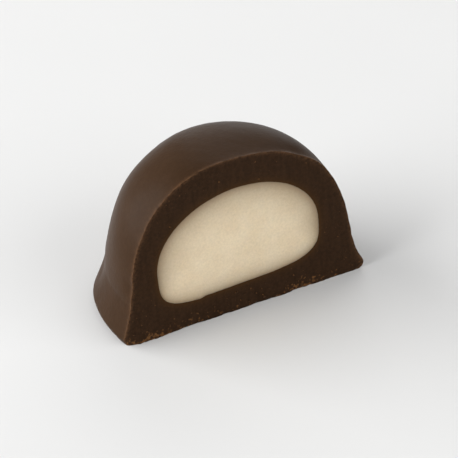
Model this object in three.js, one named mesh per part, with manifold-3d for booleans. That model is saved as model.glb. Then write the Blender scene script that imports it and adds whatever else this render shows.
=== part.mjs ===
// Chocolate praline, cut in half: a moulded dark chocolate dome round a soft cream centre.
//
// Millimetres, +Z up. The praline stands on its flat base, the cut face looks towards -Y, and +X runs
// along the cut face. The origin is on the floor, at the middle of the half's length and depth.

import * as THREE from 'three';
import { mergeVertices } from 'three/addons/utils/BufferGeometryUtils.js';
import Module from 'manifold-3d';

// Dome, as it comes out of the mould
const DOME_HEIGHT = 17.5;
const DOME_RADIUS = 13.0; // of the dome's wall, carried down to the floor
const DOME_BULGE = 0.03; // how much the wall gains in radius for each millimetre of height
const CROWN_POWER = 2.12; // how late the wall starts to close in
const CROWN_ROUNDNESS = 2.9; // how full the shoulder is

// Foot, the small flare that the closing layer leaves round the base
const FOOT_RADIUS = 14.0;
const FOOT_EDGE_HEIGHT = 0.85;
const FOOT_UNDERCUT = 0.35; // how far the edge draws in at the floor
const FLARE_HEIGHT = 4.5; // where the flare has run out into the wall
const FLARE_POWER = 1.3;
const FOOT_WAVES = [
  { count: 2, size: 0.07, phase: 0.4 },
  { count: 5, size: 0.05, phase: 2.1 },
  { count: 9, size: 0.03, phase: 4.4 },
];

// Cut, made with a knife a little in front of the dome's axis
const CUT_OFFSET = 2.75; // from the dome's axis to the cut face, at the floor
const CUT_LEAN = 0.11; // how far the cut face leans back for each millimetre of height

// Cream centre
const CREAM_RADIUS = 9.4; // at its widest
const CREAM_WIDEST_HEIGHT = 7.2;
const CREAM_TOP_HEIGHT = 14.15;
const CREAM_BOTTOM_HEIGHT = 3.05;
const CREAM_CROWN_POWER = 2.0; // an ellipse above the widest place
const CREAM_CORNER_POWER = 4.2; // a nearly flat bottom with round corners below it
const CREAM_SIDE_SHIFT = -0.28;
const CREAM_TILT = THREE.MathUtils.degToRad(1.8); // its right side stands higher
const CREAM_GAP = 0.3; // clearance between the cream and the chocolate

// Fineness of the facets
const DOME_SIDES = 96;
const DOME_STEPS = 15;
const FLARE_STEPS = 5;
const CREAM_SIDES = 64;
const CREAM_STEPS = 10;

const DOME_AXIS_Y = (CUT_OFFSET - FOOT_RADIUS) / 2;

const wasm = await Module();
wasm.setup();

// Radius of the praline's outside at a height above the floor
function outerRadius(z) {
  const crown = Math.max(1 - (z / DOME_HEIGHT) ** CROWN_POWER, 0) ** (1 / CROWN_ROUNDNESS);
  const flare = THREE.MathUtils.clamp(
    (FLARE_HEIGHT - z) / (FLARE_HEIGHT - FOOT_EDGE_HEIGHT), 0, 1,
  );
  const undercut = Math.max(1 - z / FOOT_EDGE_HEIGHT, 0);
  return (DOME_RADIUS + DOME_BULGE * z) * crown
    + (FOOT_RADIUS - DOME_RADIUS) * flare ** FLARE_POWER
    - FOOT_UNDERCUT * undercut ** 2;
}

// Half section of the outside, from the middle of the base round to the top
function outerProfile() {
  const heights = [0, 0.3, 0.65].map((part) => part * FOOT_EDGE_HEIGHT);
  for (let i = 0; i < FLARE_STEPS; i += 1) {
    heights.push(THREE.MathUtils.lerp(FOOT_EDGE_HEIGHT, FLARE_HEIGHT, i / FLARE_STEPS));
  }
  for (let i = 0; i < DOME_STEPS; i += 1) {
    const rise = Math.sin((Math.PI / 2) * (i / DOME_STEPS));
    heights.push(THREE.MathUtils.lerp(FLARE_HEIGHT, DOME_HEIGHT, rise));
  }
  return [
    new THREE.Vector2(0, 0),
    ...heights.map((z) => new THREE.Vector2(outerRadius(z), z)),
    new THREE.Vector2(0, DOME_HEIGHT),
  ];
}

// Half section of the cream centre, or of its cavity, grown on all sides by an allowance
function creamProfile(allowance) {
  const radius = CREAM_RADIUS + allowance;
  const rise = CREAM_TOP_HEIGHT - CREAM_WIDEST_HEIGHT + allowance;
  const drop = CREAM_WIDEST_HEIGHT - CREAM_BOTTOM_HEIGHT + allowance;
  const points = [];
  for (let i = -CREAM_STEPS; i <= CREAM_STEPS; i += 1) {
    const angle = (Math.PI / 2) * (i / CREAM_STEPS);
    const power = i < 0 ? CREAM_CORNER_POWER : CREAM_CROWN_POWER;
    const across = Math.abs(i) === CREAM_STEPS ? 0 : Math.cos(angle) ** (2 / power);
    const up = Math.sign(angle) * Math.abs(Math.sin(angle)) ** (2 / power);
    points.push(new THREE.Vector2(radius * across, up * (i < 0 ? drop : rise)));
  }
  return points;
}

// A profile turned into a closed body of revolution that stands upright
function turned(profile, sides) {
  const geometry = new THREE.LatheGeometry(profile, sides);
  geometry.rotateX(Math.PI / 2);
  return geometry;
}

// The foot's edge is not a perfect circle: it wanders in and out, and less so up the flare
function unevenFoot(geometry) {
  const position = geometry.getAttribute('position');
  for (let i = 0; i < position.count; i += 1) {
    const x = position.getX(i);
    const y = position.getY(i);
    const angle = Math.atan2(y, x);
    const reach = Math.hypot(x, y) / FOOT_RADIUS;
    const strength = reach * THREE.MathUtils.clamp(1 - position.getZ(i) / FLARE_HEIGHT, 0, 1);
    let wave = 0;
    for (const { count, size, phase } of FOOT_WAVES) {
      wave += size * Math.sin(count * angle + phase);
    }
    const scale = 1 + (strength * wave) / FOOT_RADIUS;
    position.setXY(i, x * scale, y * scale);
  }
  return geometry;
}

// Closed three.js geometry as a solid that can be cut
function toSolid(geometry) {
  const bare = geometry.clone();
  bare.deleteAttribute('normal');
  bare.deleteAttribute('uv');
  const merged = mergeVertices(bare);
  const triVerts = new Uint32Array(merged.index.array);
  const vertProperties = new Float32Array(merged.getAttribute('position').array);
  return new wasm.Manifold(new wasm.Mesh({ numProp: 3, vertProperties, triVerts }));
}

function toGeometry(solid) {
  const mesh = solid.getMesh();
  const geometry = new THREE.BufferGeometry();
  geometry.setAttribute('position', new THREE.BufferAttribute(mesh.vertProperties, mesh.numProp));
  geometry.setIndex(new THREE.BufferAttribute(mesh.triVerts, 1));
  geometry.computeVertexNormals();
  return geometry;
}

// Block that takes away everything in front of the cut face
function cutSolid() {
  const reach = 4 * FOOT_RADIUS;
  const block = new THREE.BoxGeometry(reach, reach, reach);
  block.translate(0, -reach / 2, 0);
  block.rotateX(-Math.atan(CUT_LEAN));
  block.translate(0, -CUT_OFFSET, 0);
  return toSolid(block);
}

function creamSolid(allowance) {
  const cream = turned(creamProfile(allowance), CREAM_SIDES);
  cream.rotateY(-CREAM_TILT);
  cream.translate(CREAM_SIDE_SHIFT, 0, CREAM_WIDEST_HEIGHT);
  return toSolid(cream);
}

function chocolateShell(cut) {
  const dome = toSolid(unevenFoot(turned(outerProfile(), DOME_SIDES)));
  const half = dome.subtract(cut).subtract(creamSolid(CREAM_GAP / 2));
  const material = new THREE.MeshStandardMaterial({ color: 0x35271c, roughness: 0.5, metalness: 0 });
  const mesh = new THREE.Mesh(toGeometry(half), material);
  mesh.name = 'chocolate_shell';
  return mesh;
}

function creamFilling(cut) {
  const half = creamSolid(-CREAM_GAP / 2).subtract(cut);
  const material = new THREE.MeshStandardMaterial({ color: 0xd8c7aa, roughness: 0.8, metalness: 0 });
  const mesh = new THREE.Mesh(toGeometry(half), material);
  mesh.name = 'cream_filling';
  return mesh;
}

const cut = cutSolid();
const praline = new THREE.Group();
praline.add(chocolateShell(cut), creamFilling(cut));
praline.position.y = DOME_AXIS_Y;

export default praline;
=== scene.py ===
"""Looks of the cut chocolate praline: its dark skin, its cut face and the pale cream centre."""

import math

import bmesh
import bpy
import numpy as np
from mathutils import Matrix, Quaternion, Vector
from mathutils.kdtree import KDTree


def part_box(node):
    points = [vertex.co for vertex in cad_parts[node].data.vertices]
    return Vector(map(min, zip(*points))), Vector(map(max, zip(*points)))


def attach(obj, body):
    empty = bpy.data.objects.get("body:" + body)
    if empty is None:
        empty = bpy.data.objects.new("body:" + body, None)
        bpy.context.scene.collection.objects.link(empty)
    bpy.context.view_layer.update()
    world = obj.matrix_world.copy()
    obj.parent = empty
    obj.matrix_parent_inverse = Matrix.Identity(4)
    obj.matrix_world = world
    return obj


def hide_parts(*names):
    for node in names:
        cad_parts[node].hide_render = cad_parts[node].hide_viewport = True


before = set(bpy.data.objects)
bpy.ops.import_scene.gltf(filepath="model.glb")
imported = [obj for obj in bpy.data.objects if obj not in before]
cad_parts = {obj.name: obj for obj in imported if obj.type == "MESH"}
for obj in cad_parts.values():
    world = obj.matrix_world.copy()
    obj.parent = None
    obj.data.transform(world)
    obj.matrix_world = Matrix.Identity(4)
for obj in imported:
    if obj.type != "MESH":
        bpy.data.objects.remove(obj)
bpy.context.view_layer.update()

# Sizes are in millimetres, in the frame of the solids: +Z up, the cut face towards -Y.
MM = 0.001

# Dome and foot, as in the solids
DOME_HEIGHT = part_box("chocolate_shell")[1].z / MM
DOME_RADIUS = 13.0  # of the dome's wall, carried down to the floor
DOME_BULGE = 0.03  # how much the wall gains in radius for each millimetre of height
CROWN_POWER = 2.12  # how late the wall starts to close in
CROWN_ROUNDNESS = 2.9  # how full the shoulder is
FOOT_RADIUS = 14.0
FOOT_EDGE_HEIGHT = 0.85
FOOT_UNDERCUT = 0.35  # how far the edge draws in at the floor
FLARE_HEIGHT = 4.5  # where the flare has run out into the wall
FLARE_POWER = 1.3
FOOT_WAVES = ((2, 0.07, 0.4), (5, 0.05, 2.1), (9, 0.03, 4.4))  # count, size, phase

# Cut face, as in the solids
CUT_OFFSET = 2.75  # from the dome's axis to the cut face, at the floor
CUT_LEAN = 0.11  # how far the cut face leans back for each millimetre of height
DOME_AXIS_Y = (CUT_OFFSET - FOOT_RADIUS) / 2
OUT_OF_CUT = np.array([0.0, -1.0, CUT_LEAN]) / math.hypot(1.0, CUT_LEAN)
UP_CUT = np.array([0.0, CUT_LEAN, 1.0]) / math.hypot(1.0, CUT_LEAN)

# Cream centre, as in the solids
CREAM_RADIUS = 9.4  # at its widest
CREAM_WIDEST_HEIGHT = 7.2
CREAM_TOP_HEIGHT = 14.15
CREAM_BOTTOM_HEIGHT = 3.05
CREAM_CROWN_POWER = 2.0  # an ellipse above the widest place
CREAM_CORNER_POWER = 4.2  # a nearly flat bottom with round corners below it
CREAM_SIDE_SHIFT = -0.28
CREAM_TILT = math.radians(1.8)  # its right side stands higher
CREAM_MIDDLE = np.array([
    CREAM_SIDE_SHIFT,
    DOME_AXIS_Y - CUT_OFFSET + CUT_LEAN * CREAM_WIDEST_HEIGHT,
    CREAM_WIDEST_HEIGHT,
])

# What the cream's border has beyond the solids
CREAM_SMEAR = 0.07  # how far the knife spread it over the chocolate
CREAM_SEAM = 0.01  # between the hidden sides of the cream and the chocolate
CREAM_STEP = 0.17  # its bottom is lower on the left of a small step
CREAM_STEP_PLACE = -4.4
CREAM_STEP_REACH = 0.4

# Rows and columns of the meshes
RIDGE_STEPS = 170
CAP_RINGS = 6
ARC_STEPS = 300
FLOOR_LINE_STEPS = 190
EDGE_ROWS = (0.0, 0.05, 0.12, 0.22, 0.36)  # distances of the rows beside a crisp edge
EDGE_SHARE = 0.25  # most of a length that the rows beside one of its ends may take
CUT_ROWS = 34
CREAM_COLUMNS = 480
CREAM_ROWS = 52
HIDDEN_ROWS = 14
BASE_ROWS = 14
BASE_ROWS_POWER = 1.6  # above 1, the rows of the base are closer near its outline
FINE_STEPS = 4000  # along the cut's edge, to space the rings evenly
HALVINGS = 46  # steps of each search by halving

# Waves that add up to a relief, and their lengths as shares of the size of its bumps
RIPPLE_WAVES = 14
RIPPLE_LENGTHS = (0.7, 1.5)

# Unevenness of the chocolate. Each relief has a height, a size of its bumps and a seed.
SKIN_SWELL = (0.030, 8.0, 11)
SKIN_GRAIN = (0.0035, 1.1, 12)
SKIN_FADE = 0.5  # how deep under the skin its relief still moves points
SKIN_BULGES = (  # place, reach and height: the dome isn't quite round
    ((1.0, 2.0, 15.0), 10.0, 0.25),
    ((10.5, -6.5, 13.0), 4.5, -0.12),
    ((-11.5, -3.6, 10.7), 4.0, 0.38),
    ((-8.9, 0.5, 13.5), 3.5, 0.22),
    ((-12.4, -7.6, 6.4), 1.0, -0.20),
    ((-9.8, 4.4, 1.0), 2.8, -0.32),
    ((-12.5, 0.0, 0.8), 2.6, 0.20),
    ((-11.8, 0.7, 3.0), 1.6, -0.26),
    ((-12.8, -6.6, 0.0), 2.5, -0.18),
    ((13.6, -8.2, 0.3), 1.2, 0.20),
    ((-14.0, -8.4, 0.0), 0.9, -0.15),
)
FACE_BULGES = (  # the same of the cut face: its lower left corner is worn
    ((-10.3, -8.4, 0.2), 1.8, 0.14),
    ((-14.0, -8.4, 0.0), 0.9, -0.50),
)
FOOT_NICKS = (0.10, 1.7, 13)
NICK_START = 0.5  # level of the ripple above which a nick starts
NICK_REACH = 1.4  # height where the nicks have run out, in heights of the foot's edge
DENTS = (  # place, reach and depth of where the knife pressed the crown's edge down
    ((3.6, -6.6), (2.8, 2.4), 0.33),
    ((7.1, -6.9), (2.4, 1.5), 0.66),
)
DENT_SINK = 1.6  # how far down a dent reaches
CUT_SWELL = (0.035, 3.5, 21)
CUT_GRAIN = (0.008, 0.5, 22)
CUT_FADE = 0.3  # how deep behind the cut face the relief of chocolate and cream moves points
BROKEN_HEIGHT = 1.0  # of the lowest strip, where the base broke instead of being cut
BROKEN_EVERYWHERE = 0.50
BROKEN_PLACES = ((-10.6, 3.9), (6.9, 2.2))  # where it broke most: place along X and reach
BROKEN_GRAIN = (0.023, 0.7, 26)
STREAK_DEPTH = 0.006
STREAK_SEED = 23
STREAK_COUNT = 9
STREAK_WIDTHS = (0.35, 1.6)
STREAK_WANDER = (0.25, 6.0, STREAK_SEED)  # how far they leave a straight line
STREAK_LEAN = 0.35  # sideways run of the knife's marks for each millimetre down
BURR_WIDTH = 0.13
BURR_HEIGHT = 0.030
BURR_CHANGE = (0.6, 1.2, 25)  # as a share of its height
CHIPS = (0.10, 1.9, 24)
CHIPS_LEAST = 0.035  # what all of the lower edge has lost
CHIPS_REACH = 0.32  # upwards from the floor
SEAM_GROOVE = 0.03
SEAM_WIDTH = 0.10
FLAT_REACH = 0.4  # height below which nothing moves up or down, so that the base stays flat

# Widths of the painted highlight beside the dome's edge and of the painted glow round the cream
EDGE_HIGHLIGHT_WIDTH = 0.15
PAINTED_GLOW_WIDTH = 0.35

# Unevenness and painted shade of the cream
CREAM_SWELL = (0.035, 5.0, 31)
CREAM_GRAIN = (0.010, 0.6, 32)
CREAM_ROLL = 0.05  # how far its border is drawn in behind the cut face
CREAM_ROLL_WIDTH = 0.20
SHADE_TOP = (0.60, 1.60)  # how the cream's painted shade lightens away from the chocolate: start and reach
SHADE_BOTTOM = (0.35, 0.90)
SHADE_CHANGE = (1.0, -2.5)  # heights over the widest place where the one becomes the other

# Crumbs that the knife left on the cut face
CRUMB_COUNT = 46
CRUMB_SEED = 41
CRUMB_RADII = (0.04, 0.10)
CRUMB_SINK = 0.6
BIG_CRUMBS = (0.15, 1.5)  # their share, and how much larger they are
LOW_CRUMBS = 0.8  # share of the crumbs that lie in the strip under the cream
LOW_CRUMB_HEIGHTS = (0.28, 2.0, 1.7)  # lowest, range and power: most of them lie low
LOW_CRUMB_LEVEL = 1.0  # height where the width that they take is measured
LOW_CRUMB_MARGIN = 0.7
HIGH_CRUMB_ARCH = (11.2, 12.8, 3.0)  # half width, rise and lowest height of the others' arch
HIGH_CRUMB_RISES = (0.93, 1.0)
HIGH_CRUMB_MARGIN = 0.12  # angle that stays free at both feet of the arch
CRUMB_STRETCH = (0.6, 1.3)
CRUMB_LUMPS = (0.78, 1.22)

# Camera, where the photograph was taken from
CAMERA_POSITION = Vector((-122.6, -224.9, 197.9)) * MM
CAMERA_TARGET = Vector((1.4, -2.5, 5.6)) * MM
CAMERA_ROLL = math.radians(0.24)
CAMERA_LENS = 246.0
CAMERA_SENSOR = 36.0
CAMERA_CLIP_START = 0.01


# Small helpers

def clamp(values, low=0.0, high=1.0):
    return np.clip(values, low, high)


def smoothstep(low, high, values):
    part = clamp((values - low) / (high - low))
    return part * part * (3 - 2 * part)


def bulge(points, bulges):
    """Height of smooth round bulges, each with a place, a reach and a height."""
    return sum(
        height * np.exp(-((points - place) ** 2).sum(axis=1) / reach ** 2)
        for place, reach, height in bulges
    )


def ripple(points, size, seed):
    """Smooth random relief, mostly between -1 and 1, whose bumps have about one size."""
    random = np.random.RandomState(seed)
    directions = random.normal(size=(RIPPLE_WAVES, 3))
    directions /= np.linalg.norm(directions, axis=1, keepdims=True)
    lengths = size * random.uniform(*RIPPLE_LENGTHS, RIPPLE_WAVES)
    phases = random.uniform(0, 2 * math.pi, RIPPLE_WAVES)
    angles = points @ (directions * (2 * math.pi / lengths[:, None])).T + phases
    return np.cos(angles).sum(axis=1) / math.sqrt(RIPPLE_WAVES)


def relief(points, kind, above=None):
    """Relief of a kind: its height, size and seed. Above a level, only what rises over it."""
    height, size, seed = kind
    waves = ripple(points, size, seed)
    if above is not None:
        waves = np.maximum(waves - above, 0)
    return height * waves


def distances_to(line, points):
    """Distance from each point to the nearest point of a closely spaced line."""
    tree = KDTree(len(line))
    for i, place in enumerate(line):
        tree.insert(place, i)
    tree.balance()
    return np.array([tree.find(point)[2] for point in points])


def spread(length, steps):
    """Distances from 0 to length: close rows beside both ends and even ones between."""
    near = np.array(EDGE_ROWS) * min(1.0, EDGE_SHARE * length / EDGE_ROWS[-1])
    far = length - near[::-1]
    middle = np.linspace(near[-1], far[0], steps + 3 - 2 * len(near))[1:-1]
    return np.concatenate([near, middle, far])


def bisect(is_inside, low, high):
    """Where a condition stops holding, between arrays of low and high values."""
    for _ in range(HALVINGS):
        middle = (low + high) / 2
        inside = is_inside(middle)
        low = np.where(inside, middle, low)
        high = np.where(inside, high, middle)
    return low


class Body:
    """Points and faces that grow patch by patch into one closed body."""

    def __init__(self):
        self.patches = []
        self.count = 0
        self.faces = []
        self.face_materials = []
        self.material = 0  # number of the material that the next faces get

    def add(self, points):
        """Adds points and returns their numbers."""
        points = np.asarray(points, float).reshape(-1, 3)
        first = self.count
        self.patches.append(points)
        self.count += len(points)
        return np.arange(first, self.count)

    def points(self):
        return np.concatenate(self.patches)

    def face(self, corners):
        """Adds a face, without corners that fall together."""
        corners = [int(corner) for i, corner in enumerate(corners) if corner != corners[i - 1]]
        if len(corners) > 2:
            self.faces.append(corners)
            self.face_materials.append(self.material)

    def strip(self, row, next_row, closed=True):
        """Faces between two rows of equally many points."""
        for i in range(len(row) if closed else len(row) - 1):
            j = (i + 1) % len(row)
            self.face([row[i], row[j], next_row[j], next_row[i]])

    def fan(self, row, tip):
        for i in range(len(row)):
            self.face([row[i], row[(i + 1) % len(row)], tip])

    def build(self, name, points):
        """Blender object of the body with its points moved, smooth, faces turned outwards."""
        data = bpy.data.meshes.new(name)
        data.from_pydata((points * MM).tolist(), [], self.faces)
        shape = bmesh.new()
        shape.from_mesh(data)
        bmesh.ops.recalc_face_normals(shape, faces=shape.faces)
        shape.to_mesh(data)
        shape.free()
        data.polygons.foreach_set("use_smooth", [True] * len(data.polygons))
        data.polygons.foreach_set("material_index", self.face_materials)
        return add_object(name, data)


def add_object(name, data):
    thing = bpy.data.objects.new(name, data)
    bpy.context.scene.collection.objects.link(thing)
    return thing


def set_values(piece, name, values):
    """Keeps one number for each point, for the material to read."""
    attribute = piece.data.attributes.new(name, "FLOAT", "POINT")
    attribute.data.foreach_set("value", np.asarray(values, np.float32))


# Outside of the praline

def cut_distance(z):
    """How far the cut face is in front of the dome's axis."""
    return CUT_OFFSET - CUT_LEAN * z


def outer_radius(z):
    crown = np.maximum(1 - (z / DOME_HEIGHT) ** CROWN_POWER, 0) ** (1 / CROWN_ROUNDNESS)
    wall = (DOME_RADIUS + DOME_BULGE * z) * crown
    flare = clamp((FLARE_HEIGHT - z) / (FLARE_HEIGHT - FOOT_EDGE_HEIGHT))
    foot = (FOOT_RADIUS - DOME_RADIUS) * flare ** FLARE_POWER
    undercut = np.maximum(1 - z / FOOT_EDGE_HEIGHT, 0)
    return wall + foot - FOOT_UNDERCUT * undercut ** 2


def foot_wave(angles, radius, z):
    """The foot's edge wanders in and out, and less so up the flare."""
    wave = sum(size * np.sin(count * angles + phase) for count, size, phase in FOOT_WAVES)
    return wave * radius / FOOT_RADIUS * clamp(1 - z / FLARE_HEIGHT)


def ring_heights():
    """Heights of the rings of the skin, evenly spaced along the edge of the cut face."""
    top = float(bisect(lambda z: outer_radius(z) > cut_distance(z), FLARE_HEIGHT, DOME_HEIGHT))
    fine = top * np.sin(np.linspace(0, math.pi / 2, FINE_STEPS))
    across = np.sqrt(np.maximum(outer_radius(fine) ** 2 - cut_distance(fine) ** 2, 0))
    run = np.concatenate([[0], np.cumsum(np.hypot(np.diff(fine), np.diff(across)))])
    heights = np.interp(np.linspace(0, run[-1], RIDGE_STEPS + 1), run, fine)
    heights[-1] = top
    return heights


def skin_ring(z):
    """One ring of the skin, from the right end of the cut round the back to the left end."""
    radius = float(outer_radius(z))
    over = math.asin(min(1.0, cut_distance(z) / radius))
    angles = spread((math.pi + 2 * over) * radius, ARC_STEPS) / radius - over
    radii = radius + foot_wave(angles, radius, z)
    x = radii * np.cos(angles)
    y = radii * np.sin(angles)
    for end in (0, -1):
        y[end] = -cut_distance(z)
        x[end] = math.copysign(math.sqrt(max(radii[end] ** 2 - y[end] ** 2, 0)), x[end])
    return np.stack([x, y + DOME_AXIS_Y, np.full_like(x, z)], axis=1)


def add_skin(body):
    """Adds the dome's skin. Returns its right edge, its left edge and its row on the floor."""
    heights = ring_heights()
    rings = [body.add(skin_ring(z)) for z in heights[:-1]]
    crown = skin_ring(heights[-1])[:-1]
    crown[0, 0] = 0
    row = body.add(crown)
    rings.append(np.append(row, row[0]))
    for lower, upper in zip(rings, rings[1:]):
        body.strip(lower, upper, closed=False)
    axis = np.array([0, DOME_AXIS_Y, 0])
    for i in range(1, CAP_RINGS):
        share = 1 - i / CAP_RINGS
        ring = (crown - axis) * [share, share, 0]
        radius = np.hypot(ring[:, 0], ring[:, 1])
        bottom = np.full_like(radius, heights[-1])
        top = np.full_like(radius, DOME_HEIGHT)
        ring[:, 2] = bisect(lambda z: outer_radius(z) > radius, bottom, top)
        next_row = body.add(ring + axis)
        body.strip(row, next_row)
        row = next_row
    tip = body.add([0, DOME_AXIS_Y, DOME_HEIGHT])[0]
    body.fan(row, tip)
    right = np.array([ring[0] for ring in rings])
    left = np.array([ring[-1] for ring in rings])
    return right, left, rings[0]


def skin_field(points):
    """Outward directions of the skin, and how deep the points lie under it."""
    step = 0.001
    least_reach = 1e-6
    z = clamp(points[:, 2], 0, DOME_HEIGHT - 2 * step)
    slope = (outer_radius(z + step) - outer_radius(z)) / step
    away = points[:, :2] - [0, DOME_AXIS_Y]
    reach = np.maximum(np.linalg.norm(away, axis=1), least_reach)
    out = np.stack([away[:, 0] / reach, away[:, 1] / reach, -slope], axis=1)
    steepness = np.linalg.norm(out, axis=1)
    depth = (outer_radius(z) - reach) / steepness
    return out / steepness[:, None], np.maximum(depth, 0)


def depth_behind_cut(points):
    return np.maximum((CREAM_MIDDLE - points) @ OUT_OF_CUT, 0)


# Outline and sides of the cream

def is_in_cream(points, allowance):
    """Whether points are inside the cream, grown by an allowance."""
    x = points[:, 0] - CREAM_SIDE_SHIFT
    y = points[:, 1] - DOME_AXIS_Y
    z = points[:, 2] - CREAM_WIDEST_HEIGHT
    along = x * math.cos(CREAM_TILT) + z * math.sin(CREAM_TILT)
    up = z * math.cos(CREAM_TILT) - x * math.sin(CREAM_TILT)
    across = np.hypot(along, y) / (CREAM_RADIUS + allowance)
    rise = CREAM_TOP_HEIGHT - CREAM_WIDEST_HEIGHT + allowance
    drop = CREAM_WIDEST_HEIGHT - CREAM_BOTTOM_HEIGHT + allowance
    past_step = CREAM_STEP_PLACE - along
    drop = drop + CREAM_STEP * smoothstep(-CREAM_STEP_REACH, CREAM_STEP_REACH, past_step)
    above = across ** CREAM_CROWN_POWER + np.abs(up / rise) ** CREAM_CROWN_POWER
    below = across ** CREAM_CORNER_POWER + np.abs(up / drop) ** CREAM_CORNER_POWER
    return np.where(up > 0, above, below) < 1


def cream_surface(directions, allowance):
    """Points where rays from the cream's middle leave it."""
    low = np.zeros(len(directions))
    high = np.full(len(directions), 2 * CREAM_RADIUS)
    reach = bisect(
        lambda r: is_in_cream(CREAM_MIDDLE + directions * r[:, None], allowance), low, high
    )
    return CREAM_MIDDLE + directions * reach[:, None]


def face_directions(loop):
    """Directions along the cut face from the cream's middle to the points of a loop."""
    away = loop - CREAM_MIDDLE
    flat = np.outer(away[:, 0], [1.0, 0, 0]) + np.outer(away @ UP_CUT, UP_CUT)
    return flat / np.linalg.norm(flat, axis=1, keepdims=True)


def add_hidden_side(body, border, directions, allowance):
    """Adds the side of the cream, or of its cavity, that lies behind a border row."""
    row = border
    for i in range(1, HIDDEN_ROWS):
        turn = (math.pi / 2) * i / HIDDEN_ROWS
        rays = directions * math.cos(turn) - OUT_OF_CUT * math.sin(turn)
        next_row = body.add(cream_surface(rays, allowance))
        body.strip(row, next_row)
        row = next_row
    tip = body.add(cream_surface(-OUT_OF_CUT[None, :], allowance))[0]
    body.fan(row, tip)


# Chocolate

SKIN_MATERIAL = 0
CUT_MATERIAL = 1


def add_cut_face(body, right, left):
    """Adds the cut face. Returns its row on the floor, the seam and the rays to the seam."""
    ends = body.points()[[left[0], right[0]]]
    shares = np.linspace(0, 1, FLOOR_LINE_STEPS + 1)[1:-1, None]
    floor_line = body.add(ends[0] + (ends[1] - ends[0]) * shares)
    row = np.concatenate([right, left[-2::-1], floor_line])
    outline = body.points()[row]
    directions = face_directions(outline)
    inward = cream_surface(directions, CREAM_SMEAR) - outline
    lengths = np.linalg.norm(inward, axis=1)
    steps = np.array([spread(length, CUT_ROWS) / length for length in lengths]).T
    body.material = CUT_MATERIAL
    for step in steps[1:]:
        next_row = body.add(outline + inward * step[:, None])
        body.strip(row, next_row)
        row = next_row
    body.material = SKIN_MATERIAL
    return floor_line, row, directions


def add_base(body, row):
    outline = body.points()[row]
    middle = outline.mean(axis=0)
    for i in range(1, BASE_ROWS):
        share = (i / BASE_ROWS) ** BASE_ROWS_POWER
        next_row = body.add(outline + (middle - outline) * share)
        body.strip(row, next_row)
        row = next_row
    body.fan(row, body.add(middle)[0])


def knife_streaks(points):
    """Fine ridges that run down the cut face with the knife's stroke."""
    random = np.random.RandomState(STREAK_SEED)
    across = points[:, 0] + STREAK_LEAN * points[:, 2] + relief(points, STREAK_WANDER)
    total = np.zeros(len(points))
    for length in random.uniform(*STREAK_WIDTHS, STREAK_COUNT):
        total += np.sin(2 * math.pi * across / length + random.uniform(0, 2 * math.pi))
    return total / math.sqrt(STREAK_COUNT)


def brokenness(points):
    """How crumbly the cut face is, from 0 to about 1.5."""
    share = BROKEN_EVERYWHERE
    for place, reach in BROKEN_PLACES:
        share = share + np.exp(-((points[:, 0] - place) / reach) ** 2)
    return share * np.exp(-(points[:, 2] / BROKEN_HEIGHT) ** 2)


def uneven_chocolate(points, border):
    """Moves points by the swells of the skin, the nicks of the foot and the knife's marks."""
    out, depth = skin_field(points)
    behind = depth_behind_cut(points)
    z = points[:, 2]

    nicks = relief(points, FOOT_NICKS, above=NICK_START)
    skin = relief(points, SKIN_SWELL) + relief(points, SKIN_GRAIN)
    skin -= nicks * clamp(NICK_REACH - z / FOOT_EDGE_HEIGHT)
    skin += bulge(points, SKIN_BULGES)

    chips = CHIPS_LEAST + relief(points, CHIPS, above=0)
    face = relief(points, CUT_SWELL) + relief(points, CUT_GRAIN)
    face += STREAK_DEPTH * knife_streaks(points)
    face += relief(points, BROKEN_GRAIN) * brokenness(points)
    face += bulge(points, FACE_BULGES)
    face -= chips * np.exp(-z / CHIPS_REACH)
    face -= SEAM_GROOVE * np.exp(-border / SEAM_WIDTH)

    ridge = np.hypot(depth, behind)
    burr = BURR_HEIGHT * (1 + relief(points, BURR_CHANGE)) * np.exp(-(ridge / BURR_WIDTH) ** 2)

    diagonal = (out + OUT_OF_CUT) / math.sqrt(2)
    moves = out * (skin * np.exp(-depth / SKIN_FADE))[:, None]
    moves += OUT_OF_CUT * (face * np.exp(-behind / CUT_FADE))[:, None]
    moves += diagonal * burr[:, None]
    for place, reach, fall in DENTS:
        aside = (points[:, :2] - place) / reach
        moves[:, 2] -= fall * np.exp(-(aside ** 2).sum(axis=1) - (depth / DENT_SINK) ** 2)
    moves[:, 2] *= smoothstep(0, FLAT_REACH, z)
    return points + moves


def make_chocolate():
    body = Body()
    right, left, floor_row = add_skin(body)
    floor_line, seam, directions = add_cut_face(body, right, left)
    add_hidden_side(body, seam, directions, CREAM_SMEAR)
    add_base(body, np.concatenate([floor_row, floor_line]))
    points = body.points()
    border = distances_to(points[seam], points)
    ridge = np.hypot(skin_field(points)[1], depth_behind_cut(points))
    piece = body.build("praline_chocolate", uneven_chocolate(points, border))
    # how much painted highlight the edge between the skin and the cut face gets
    set_values(piece, "edge", np.exp(-ridge / EDGE_HIGHLIGHT_WIDTH))
    # how much painted glow from the cream the chocolate round it gets
    set_values(piece, "painted_glow", np.exp(-border / PAINTED_GLOW_WIDTH))
    set_values(piece, "broken", brokenness(points))
    return piece


# Cream centre

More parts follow.
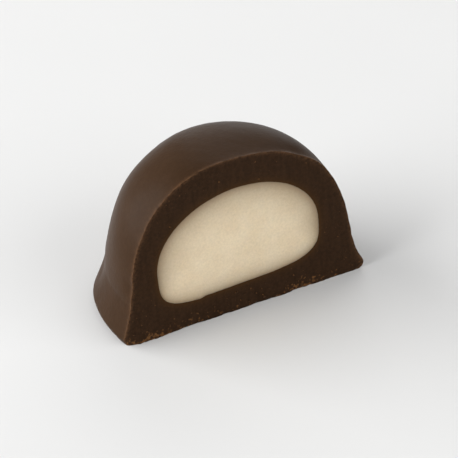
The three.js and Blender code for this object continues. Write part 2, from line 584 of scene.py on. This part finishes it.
def make_cream():
    body = Body()
    angles = np.linspace(0, 2 * math.pi, CREAM_COLUMNS, endpoint=False)
    directions = np.outer(np.cos(angles), [1.0, 0, 0]) + np.outer(np.sin(angles), UP_CUT)
    outline = cream_surface(directions, CREAM_SMEAR - CREAM_SEAM)
    lengths = np.linalg.norm(outline - CREAM_MIDDLE, axis=1)
    close = np.outer(EDGE_ROWS[1:], np.ones(CREAM_COLUMNS))
    even = np.linspace(EDGE_ROWS[-1], lengths, CREAM_ROWS)[1:-1]
    border_row = body.add(outline)
    row = border_row
    for inset in np.concatenate([close, even]):
        next_row = body.add(outline - directions * inset[:, None])
        body.strip(row, next_row)
        row = next_row
    body.fan(row, body.add(CREAM_MIDDLE)[0])
    add_hidden_side(body, border_row, directions, CREAM_SMEAR - CREAM_SEAM)

    points = body.points()
    border = distances_to(outline, points)
    behind = depth_behind_cut(points)
    face = relief(points, CREAM_SWELL) + relief(points, CREAM_GRAIN)
    face -= CREAM_ROLL * np.exp(-(border / CREAM_ROLL_WIDTH) ** 2)
    moved = points + OUT_OF_CUT * (face * np.exp(-behind / CUT_FADE))[:, None]
    piece = body.build("cream_centre", moved)

    # Painted shade: the cream darkens towards the chocolate, over a longer reach on its upper side.
    low = smoothstep(*SHADE_CHANGE, points[:, 2] - CREAM_WIDEST_HEIGHT)
    start = SHADE_TOP[0] + (SHADE_BOTTOM[0] - SHADE_TOP[0]) * low
    reach = SHADE_TOP[1] + (SHADE_BOTTOM[1] - SHADE_TOP[1]) * low
    set_values(piece, "painted_shade_lightness", 1 - np.exp(-(border + start) / reach))
    return piece


# Crumbs

def crumb_place(random):
    """Place of a crumb along X and its height: under the cream or, for a few, in the arch above it."""
    angle = random.uniform(HIGH_CRUMB_MARGIN, math.pi - HIGH_CRUMB_MARGIN)
    if random.uniform() < LOW_CRUMBS:
        half_width = float(outer_radius(LOW_CRUMB_LEVEL)) - LOW_CRUMB_MARGIN
        lowest, height_range, power = LOW_CRUMB_HEIGHTS
        x = random.uniform(-half_width, half_width)
        return x, lowest + height_range * random.uniform() ** power
    half_width, rise, foot = HIGH_CRUMB_ARCH
    x = half_width * math.cos(angle)
    return x, foot + rise * math.sin(angle) * random.uniform(*HIGH_CRUMB_RISES)


def make_crumbs():
    """Small broken bits that the knife left."""
    random = np.random.RandomState(CRUMB_SEED)
    shape = bmesh.new()
    for _ in range(CRUMB_COUNT):
        x, z = crumb_place(random)
        radius = random.uniform(*CRUMB_RADII)
        if random.uniform() < BIG_CRUMBS[0]:
            radius *= BIG_CRUMBS[1]
        middle = np.array([x, DOME_AXIS_Y - cut_distance(z), z])
        middle += OUT_OF_CUT * radius * (1 - CRUMB_SINK)
        stretch = random.uniform(*CRUMB_STRETCH, 3)
        made = bmesh.ops.create_icosphere(shape, subdivisions=2, radius=1.0)
        for vertex in made["verts"]:
            place = np.array(vertex.co) * random.uniform(*CRUMB_LUMPS) * stretch
            vertex.co = Vector((middle + place * radius) * MM)
    data = bpy.data.meshes.new("cut_crumbs")
    shape.to_mesh(data)
    shape.free()
    return add_object("cut_crumbs", data)


# Materials

SKIN_DARK = (0.0365, 0.0188, 0.0094, 1)
SKIN_LIGHT = (0.0415, 0.0218, 0.0112, 1)
CUT_DARK = (0.0226, 0.0100, 0.0033, 1)
CUT_LIGHT = (0.0354, 0.0164, 0.0068, 1)
# painted highlight along the edge between the skin and the cut face
EDGE_HIGHLIGHT_BROWN = (0.112, 0.055, 0.026, 1)
# painted glow from the cream in the chocolate round it
PAINTED_GLOW_BROWN = (0.066, 0.028, 0.0055, 1)
FLECK_BROWN = (0.140, 0.063, 0.022, 1)
CREAM_PALE = (0.797, 0.673, 0.482, 1)
CREAM_WARM = (0.768, 0.633, 0.439, 1)
# painted shade of the cream beside the chocolate
CREAM_PAINTED_SHADE = (0.238, 0.167, 0.097, 1)
FLOOR_WHITE = (0.73, 0.73, 0.726, 1)
FLOOR_GREY = (0.71, 0.71, 0.706, 1)

# Roughness at the smoothest and the roughest places, and specular level
SKIN_ROUGHNESS = (0.34, 0.42)
SKIN_SPECULAR = 0.035
CUT_ROUGHNESS = (0.62, 0.76)
CUT_SPECULAR = 0.08
CREAM_ROUGHNESS = (0.68, 0.82)
CREAM_SPECULAR = 0.35
CRUMB_ROUGHNESS = (0.60, 0.75)
CRUMB_SPECULAR = 0.12
FLOOR_ROUGHNESS = (0.80, 0.86)
FLOOR_SPECULAR = 0.2

# Light that spreads inside the cream
CREAM_SPREAD = 0.30
CREAM_SPREAD_COLOURS = (1.0, 0.7, 0.45)
CREAM_SPREAD_REACH = 0.7

# Parts of a noise's range: nearly all of its values, and the commonest ones
NOISE_WIDE = (0.30, 0.70)
NOISE_MIDDLE = (0.35, 0.65)
MARK_RANGE = (0.38, 0.62)  # of the marks on the cut face
CRUMB_RANGE = (0.40, 0.70)  # of the crumbs' grain, mostly below it

PAINTED_SHADE_RANGE = (0.30, 1.0)  # of the cream's painted shade, from the colour of its border to its own
SKIN_DUST = (0.955, 1.045)  # darkest and lightest specks, as factors of the skin's colour
CREAM_SPECKS = (0.94, 1.06)
EDGE_HIGHLIGHT_RANGE = (0.36, 0.60, 0.15, 0.95)  # painted highlight along the edge: from this range of the grain to this strength
# how strongly the painted glow round the cream shows
PAINTED_GLOW_STRENGTH = 0.6
STREAK_STRETCH = 0.12  # how much slower the streaks' noise changes along them
STREAK_SHARE = 0.35  # of the streaks in the marks on the cut face, the grain has the rest
FLECK_LEVELS = (0.0, 1.4, 0.72, 0.43)  # from this brokenness to the least noise of a fleck
FLECK_CLUSTERS = (0.35, 0.65, 0.04, -0.03)
FLECK_EDGE = 0.08  # how much the noise rises from a fleck's edge to its full colour
FLECK_GRAIN = (0.38, 0.58, 0.3, 1)


def colour_socket(sockets, name):
    return next(socket for socket in sockets if socket.name == name and socket.type == "RGBA")


class Surface:
    """A material whose nodes are added one by one."""

    def __init__(self, name):
        self.material = bpy.data.materials.new(name)
        self.material.use_nodes = True
        self.tree = self.material.node_tree
        self.shader = self.tree.nodes["Principled BSDF"]
        self.place = self.add("ShaderNodeTexCoord").outputs["Object"]

    def add(self, kind, **settings):
        node = self.tree.nodes.new(kind)
        for name, value in settings.items():
            setattr(node, name, value)
        return node

    def feed(self, socket, value):
        """Links a socket to an output, or sets it to a plain value."""
        if isinstance(value, bpy.types.NodeSocket):
            self.tree.links.new(value, socket)
        else:
            socket.default_value = value

    def noise(self, size, detail, stretch=(1, 1, 1), turn=0.0):
        """Noise whose blotches are about size millimetres across, turned about Y."""
        place = self.add("ShaderNodeMapping")
        self.feed(place.inputs["Vector"], self.place)
        place.inputs["Rotation"].default_value = (0, turn, 0)
        place.inputs["Scale"].default_value = stretch
        node = self.add("ShaderNodeTexNoise")
        self.feed(node.inputs["Vector"], place.outputs["Vector"])
        node.inputs["Scale"].default_value = 1 / (size * MM)
        node.inputs["Detail"].default_value = detail
        return node.outputs["Fac"]

    def value(self, name):
        return self.add("ShaderNodeAttribute", attribute_name=name).outputs["Fac"]

    def span(self, value, low, high, new_low=0.0, new_high=1.0):
        """Maps a value from one range to another, held at its ends."""
        node = self.add("ShaderNodeMapRange")
        for socket, number in zip(node.inputs, (value, low, high, new_low, new_high)):
            self.feed(socket, number)
        return node.outputs["Result"]

    def combine(self, operation, first, second):
        """Works out one number from two."""
        node = self.add("ShaderNodeMath", operation=operation)
        self.feed(node.inputs[0], first)
        self.feed(node.inputs[1], second)
        return node.outputs["Value"]

    def blend(self, share, first, second, how="MIX"):
        """Mixes two colours by a share from 0 to 1."""
        node = self.add("ShaderNodeMix", data_type="RGBA", blend_type=how)
        self.feed(node.inputs["Factor"], share)
        self.feed(colour_socket(node.inputs, "A"), first)
        self.feed(colour_socket(node.inputs, "B"), second)
        return colour_socket(node.outputs, "Result")

    def tint(self, colour, factor):
        """Multiplies a colour by one number."""
        grey = self.add("ShaderNodeCombineColor")
        for socket in grey.inputs:
            self.feed(socket, factor)
        return self.blend(1.0, colour, grey.outputs["Color"], how="MULTIPLY")

    def painted_edge_highlight(self, colour, grain):
        """A colour with a broken painted highlight along the edge between the skin and the cut face.
        """
        strength = self.span(grain, *EDGE_HIGHLIGHT_RANGE)
        line = self.combine("MULTIPLY", self.value("edge"), strength)
        return self.blend(line, colour, EDGE_HIGHLIGHT_BROWN)

    def bump(self, height, depth):
        """Gives the surface bumps, from a height from 0 to 1 over a depth in millimetres."""
        node = self.add("ShaderNodeBump")
        node.inputs["Distance"].default_value = depth * MM
        self.feed(node.inputs["Height"], height)
        self.feed(self.shader.inputs["Normal"], node.outputs["Normal"])

    def finish(self, colour, roughness, specular):
        """Sets the shader's colour and gloss, and returns the material."""
        self.feed(self.shader.inputs["Base Color"], colour)
        self.feed(self.shader.inputs["Roughness"], roughness)
        self.shader.inputs["Specular IOR Level"].default_value = specular
        return self.material


def skin_material():
    """Satin skin, as it left the mould, with a painted highlight along the cut."""
    surface = Surface("dark_chocolate")
    blotches = surface.noise(size=4.0, detail=3.0)
    specks = surface.noise(size=0.40, detail=4.0)
    grain = surface.noise(size=0.35, detail=5.0)
    skin = surface.blend(surface.span(blotches, *NOISE_MIDDLE), SKIN_DARK, SKIN_LIGHT)
    skin = surface.tint(skin, surface.span(specks, *NOISE_MIDDLE, *SKIN_DUST))
    # painted highlight along the cut's edge
    colour = surface.painted_edge_highlight(skin, grain)
    surface.bump(grain, depth=0.020)
    roughness = surface.span(blotches, *NOISE_WIDE, *SKIN_ROUGHNESS)
    return surface.finish(colour, roughness, SKIN_SPECULAR)


def fleck_share(surface, grain):
    """How much of the flecks' colour shows: in grains, and more low on the cut face, most at two
    places along the floor.
    """
    flecks = surface.noise(size=0.33, detail=1.5)
    clusters = surface.noise(size=2.6, detail=2.0)
    least = surface.span(surface.value("broken"), *FLECK_LEVELS)
    least = surface.combine("ADD", least, surface.span(clusters, *FLECK_CLUSTERS))
    over = surface.span(surface.combine("SUBTRACT", flecks, least), 0, FLECK_EDGE)
    return surface.combine("MULTIPLY", over, surface.span(grain, *FLECK_GRAIN))


def cut_material():
    """Dull cut face: knife marks, a warm line of painted glow round the cream and flecks near the
    floor.
    """
    surface = Surface("cut_chocolate")
    grain = surface.noise(size=0.30, detail=5.0)
    streaks = surface.noise(
        size=0.45, detail=3.0, stretch=(1.0, 1.0, STREAK_STRETCH), turn=math.atan(STREAK_LEAN)
    )
    streaks = surface.combine("MULTIPLY", streaks, STREAK_SHARE)
    rest = surface.combine("MULTIPLY", grain, 1 - STREAK_SHARE)
    marks = surface.combine("ADD", streaks, rest)
    # painted glow from the cream in the chocolate round it
    painted_glow = surface.combine("MULTIPLY", surface.value("painted_glow"), PAINTED_GLOW_STRENGTH)
    face = surface.blend(surface.span(marks, *MARK_RANGE), CUT_DARK, CUT_LIGHT)
    face = surface.blend(fleck_share(surface, grain), face, FLECK_BROWN)
    face = surface.blend(painted_glow, face, PAINTED_GLOW_BROWN)
    # painted highlight along the dome's edge
    colour = surface.painted_edge_highlight(face, grain)
    surface.bump(marks, depth=0.07)
    roughness = surface.span(grain, *NOISE_WIDE, *CUT_ROUGHNESS)
    return surface.finish(colour, roughness, CUT_SPECULAR)


def cream_material():
    """Dense matt cream, with painted shade that makes it darker and browner where it meets the
    chocolate.
    """
    surface = Surface("cream")
    clouds = surface.noise(size=2.5, detail=3.0)
    grain = surface.noise(size=0.22, detail=4.0)
    # painted shade towards the chocolate
    painted_shade_lightness = surface.span(surface.value("painted_shade_lightness"), *PAINTED_SHADE_RANGE)
    body = surface.blend(surface.span(clouds, *NOISE_MIDDLE), CREAM_PALE, CREAM_WARM)
    colour = surface.blend(painted_shade_lightness, CREAM_PAINTED_SHADE, body)
    colour = surface.tint(colour, surface.span(grain, *NOISE_WIDE, *CREAM_SPECKS))
    surface.bump(grain, depth=0.035)
    surface.shader.inputs["Subsurface Weight"].default_value = CREAM_SPREAD
    surface.shader.inputs["Subsurface Radius"].default_value = CREAM_SPREAD_COLOURS
    surface.shader.inputs["Subsurface Scale"].default_value = CREAM_SPREAD_REACH * MM
    roughness = surface.span(grain, *NOISE_WIDE, *CREAM_ROUGHNESS)
    return surface.finish(colour, roughness, CREAM_SPECULAR)


def crumb_material():
    surface = Surface("chocolate_crumbs")
    grain = surface.noise(size=0.15, detail=3.0)
    colour = surface.blend(surface.span(grain, *CRUMB_RANGE), CUT_LIGHT, FLECK_BROWN)
    surface.bump(grain, depth=0.04)
    roughness = surface.span(grain, *NOISE_WIDE, *CRUMB_ROUGHNESS)
    return surface.finish(colour, roughness, CRUMB_SPECULAR)


def floor_material():
    surface = Surface("studio_floor")
    clouds = surface.noise(size=60.0, detail=3.0)
    colour = surface.blend(surface.span(clouds, *NOISE_WIDE), FLOOR_WHITE, FLOOR_GREY)
    roughness = surface.span(clouds, *NOISE_WIDE, *FLOOR_ROUGHNESS)
    return surface.finish(colour, roughness, FLOOR_SPECULAR)


# Studio

FLOOR_HALF_WIDTH = 2.0  # metres
LIGHTS = (  # name, bearing, elevation, distance, width in metres, strength
    ("key_left", 158, 12, 0.60, 0.90, 3.70),
    ("fill_right", -58, 22, 0.60, 0.70, 0.70),
    ("rim_right", 50, 20, 0.60, 0.60, 0.50),
)
WORLD_STRENGTH = 0.30


def make_floor():
    data = bpy.data.meshes.new("studio_floor")
    shape = bmesh.new()
    bmesh.ops.create_grid(shape, x_segments=8, y_segments=8, size=FLOOR_HALF_WIDTH)
    shape.to_mesh(data)
    shape.free()
    floor = add_object("studio_floor", data)
    floor.data.materials.append(floor_material())
    return floor


def add_light(name, bearing, elevation, distance, width, strength):
    """A square soft light that looks at the praline. Its strength is what it adds on white."""
    data = bpy.data.lights.new(name, "AREA")
    data.size = width
    data.energy = strength * math.pi ** 2 * distance ** 2
    turn = math.radians(bearing)
    rise = math.radians(elevation)
    away = Vector((
        math.cos(turn) * math.cos(rise),
        math.sin(turn) * math.cos(rise),
        math.sin(rise),
    ))
    light = add_object(name, data)
    light.location = CAMERA_TARGET + away * distance
    light.rotation_mode = "QUATERNION"
    light.rotation_quaternion = away.to_track_quat("Z", "Y")


def add_camera():
    data = bpy.data.cameras.new("camera")
    data.lens = CAMERA_LENS
    data.sensor_width = CAMERA_SENSOR
    data.clip_start = CAMERA_CLIP_START
    camera = add_object("camera", data)
    camera.location = CAMERA_POSITION
    camera.rotation_mode = "QUATERNION"
    look = (CAMERA_POSITION - CAMERA_TARGET).to_track_quat("Z", "Y")
    camera.rotation_quaternion = look @ Quaternion((0, 0, 1), CAMERA_ROLL)
    bpy.context.scene.camera = camera


def light_world():
    world = bpy.data.worlds.new("soft_room")
    world.use_nodes = True
    background = world.node_tree.nodes["Background"]
    background.inputs["Color"].default_value = (1, 1, 1, 1)
    background.inputs["Strength"].default_value = WORLD_STRENGTH
    bpy.context.scene.world = world


add_camera()

chocolate = make_chocolate()
chocolate.data.materials.append(skin_material())
chocolate.data.materials.append(cut_material())
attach(chocolate, "root")
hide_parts("chocolate_shell")

cream = make_cream()
cream.data.materials.append(cream_material())
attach(cream, "root")
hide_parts("cream_filling")

crumbs = make_crumbs()
crumbs.data.materials.append(crumb_material())
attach(crumbs, "root")

make_floor()
light_world()
for light in LIGHTS:
    add_light(*light)
bpy.context.scene.view_settings.view_transform = "Standard"
